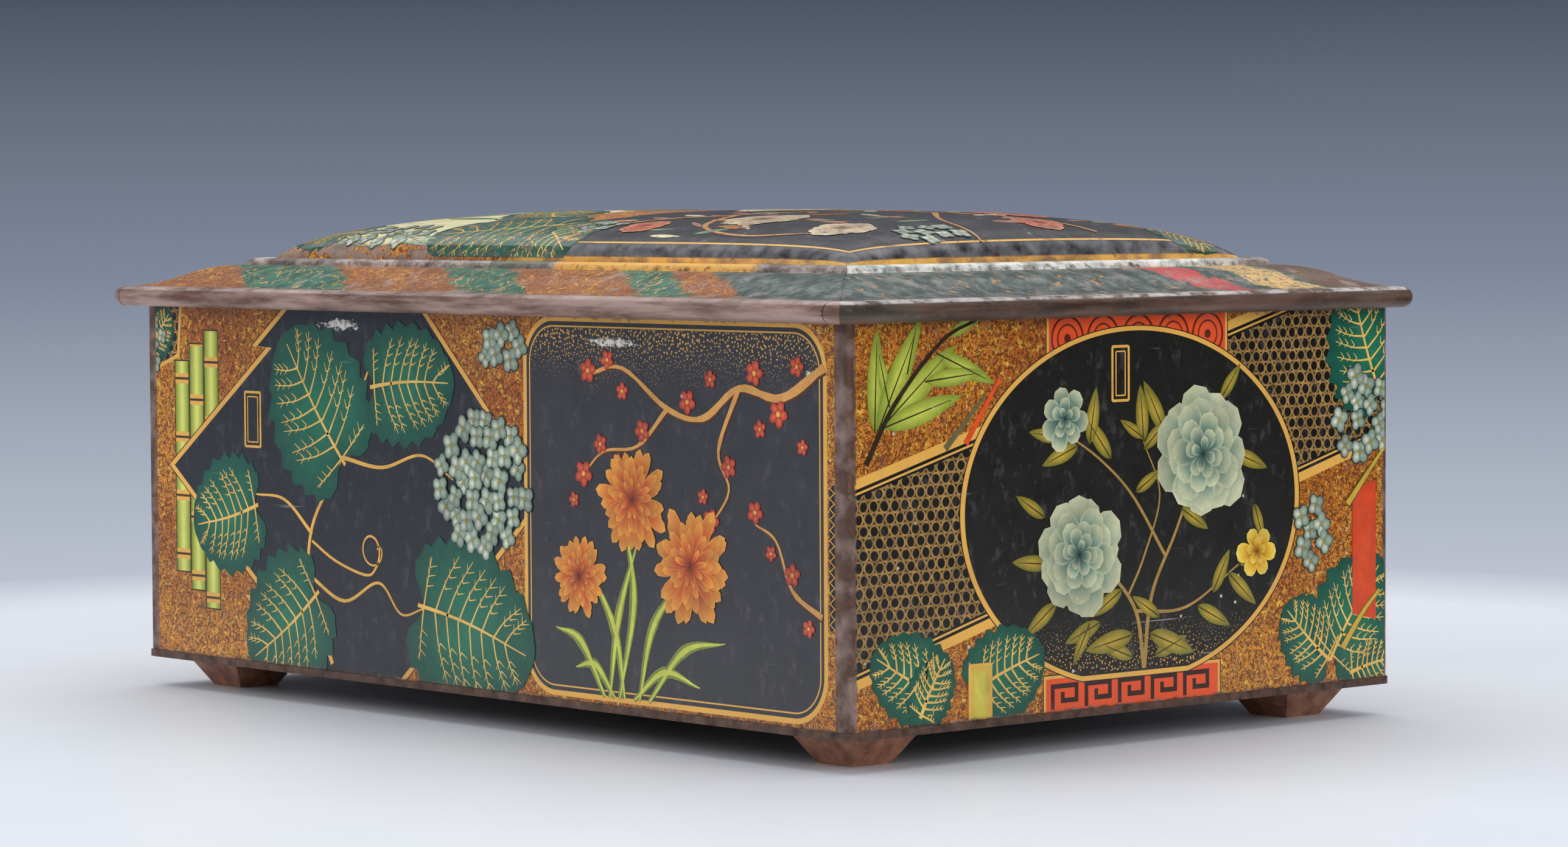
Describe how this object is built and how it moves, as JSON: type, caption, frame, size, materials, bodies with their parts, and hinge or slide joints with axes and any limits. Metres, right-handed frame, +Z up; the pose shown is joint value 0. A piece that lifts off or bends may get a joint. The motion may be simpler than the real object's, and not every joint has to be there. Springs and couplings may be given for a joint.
{
  "type": "deed box",
  "caption": "Hinged tinplate deed box with printed flat panels, folded corner laps, wired rolled rim, moulded domed lid and pressed feet.",
  "frame": {"origin": "on the surface the feet stand on, under the middle of the closed lid's outline", "axes": "+X along the long side towards the right end, -Y out of the front panel, +Z up; the hinge runs along X at the back"},
  "size_m": [0.3188, 0.2144, 0.1386],
  "materials": {
    "long_panel_print": "worn colour print under aged varnish, semi-gloss",
    "end_panel_print": "worn colour print under aged varnish, semi-gloss",
    "lid_print": "heavily rubbed colour print, semi-gloss",
    "lid_rim_print": "rubbed print over browned tin along the rolled edge",
    "base_tinplate": "browned lacquer with light rust",
    "bare_tinplate": "dull aged tin",
    "foot_paint": "dark red-brown paint, rusted at the edges",
    "rim_steel": "drawn wire, browned where it shows"
  },
  "bodies": {
    "body": {"front_wall": "long_panel_print", "back_wall": "long_panel_print", "left_end": "end_panel_print", "right_end": "end_panel_print", "base_pan": "base_tinplate", "mouth_collar": "bare_tinplate", "foot_front_left": "foot_paint", "foot_front_right": "foot_paint", "foot_back_left": "foot_paint", "foot_back_right": "foot_paint", "hinge_strap_left": "bare_tinplate", "hinge_strap_right": "bare_tinplate"},
    "lid": {"lid_rim_front": "lid_rim_print", "lid_rim_back": "lid_rim_print", "lid_rim_left": "lid_rim_print", "lid_rim_right": "lid_rim_print", "lid_dome": "lid_print", "rim_wire": "rim_steel"}
  },
  "joints": [
    {"name": "lid_hinge", "type": "hinge", "parent": "body", "child": "lid", "pos_m": [0, 0.10445, 0.1143], "axis": [-1, 0, 0], "range_deg": [0, 110]}
  ]
}
